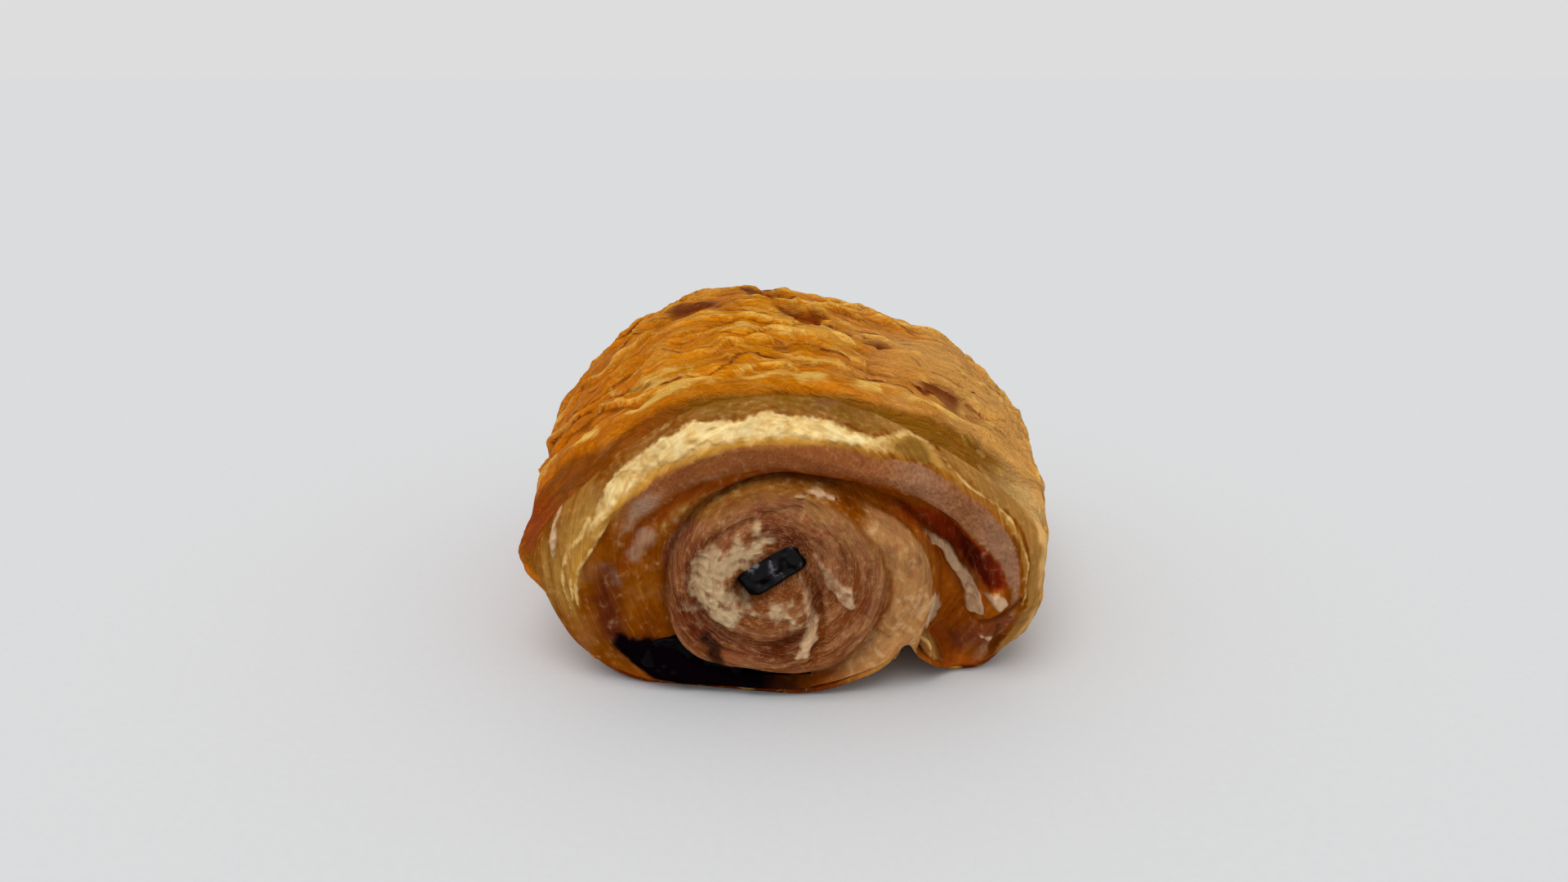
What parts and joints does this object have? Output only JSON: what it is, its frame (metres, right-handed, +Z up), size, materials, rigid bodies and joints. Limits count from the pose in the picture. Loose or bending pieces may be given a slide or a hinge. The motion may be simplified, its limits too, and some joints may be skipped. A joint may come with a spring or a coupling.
{
  "type": "pain au chocolat",
  "caption": "Baked laminated dough rolled round chocolate batons, with a browned crust, spiral ends and a free end that hangs over a notch.",
  "frame": {"origin": "centre of the bounding box's base, on the plane the pastry rests on", "axes": "+Y along the roll's axis, from the end shown in the picture to the other end; +X towards the side where the sheet's free end hangs down; +Z up"},
  "size_m": [0.0782, 0.0866, 0.0493],
  "materials": {
    "baked_dough": "egg-washed, satin",
    "dark_chocolate": "satin"
  },
  "bodies": {
    "root": {"pastry": "baked_dough", "chocolate_upper": "dark_chocolate", "chocolate_lower": "dark_chocolate"}
  },
  "joints": []
}
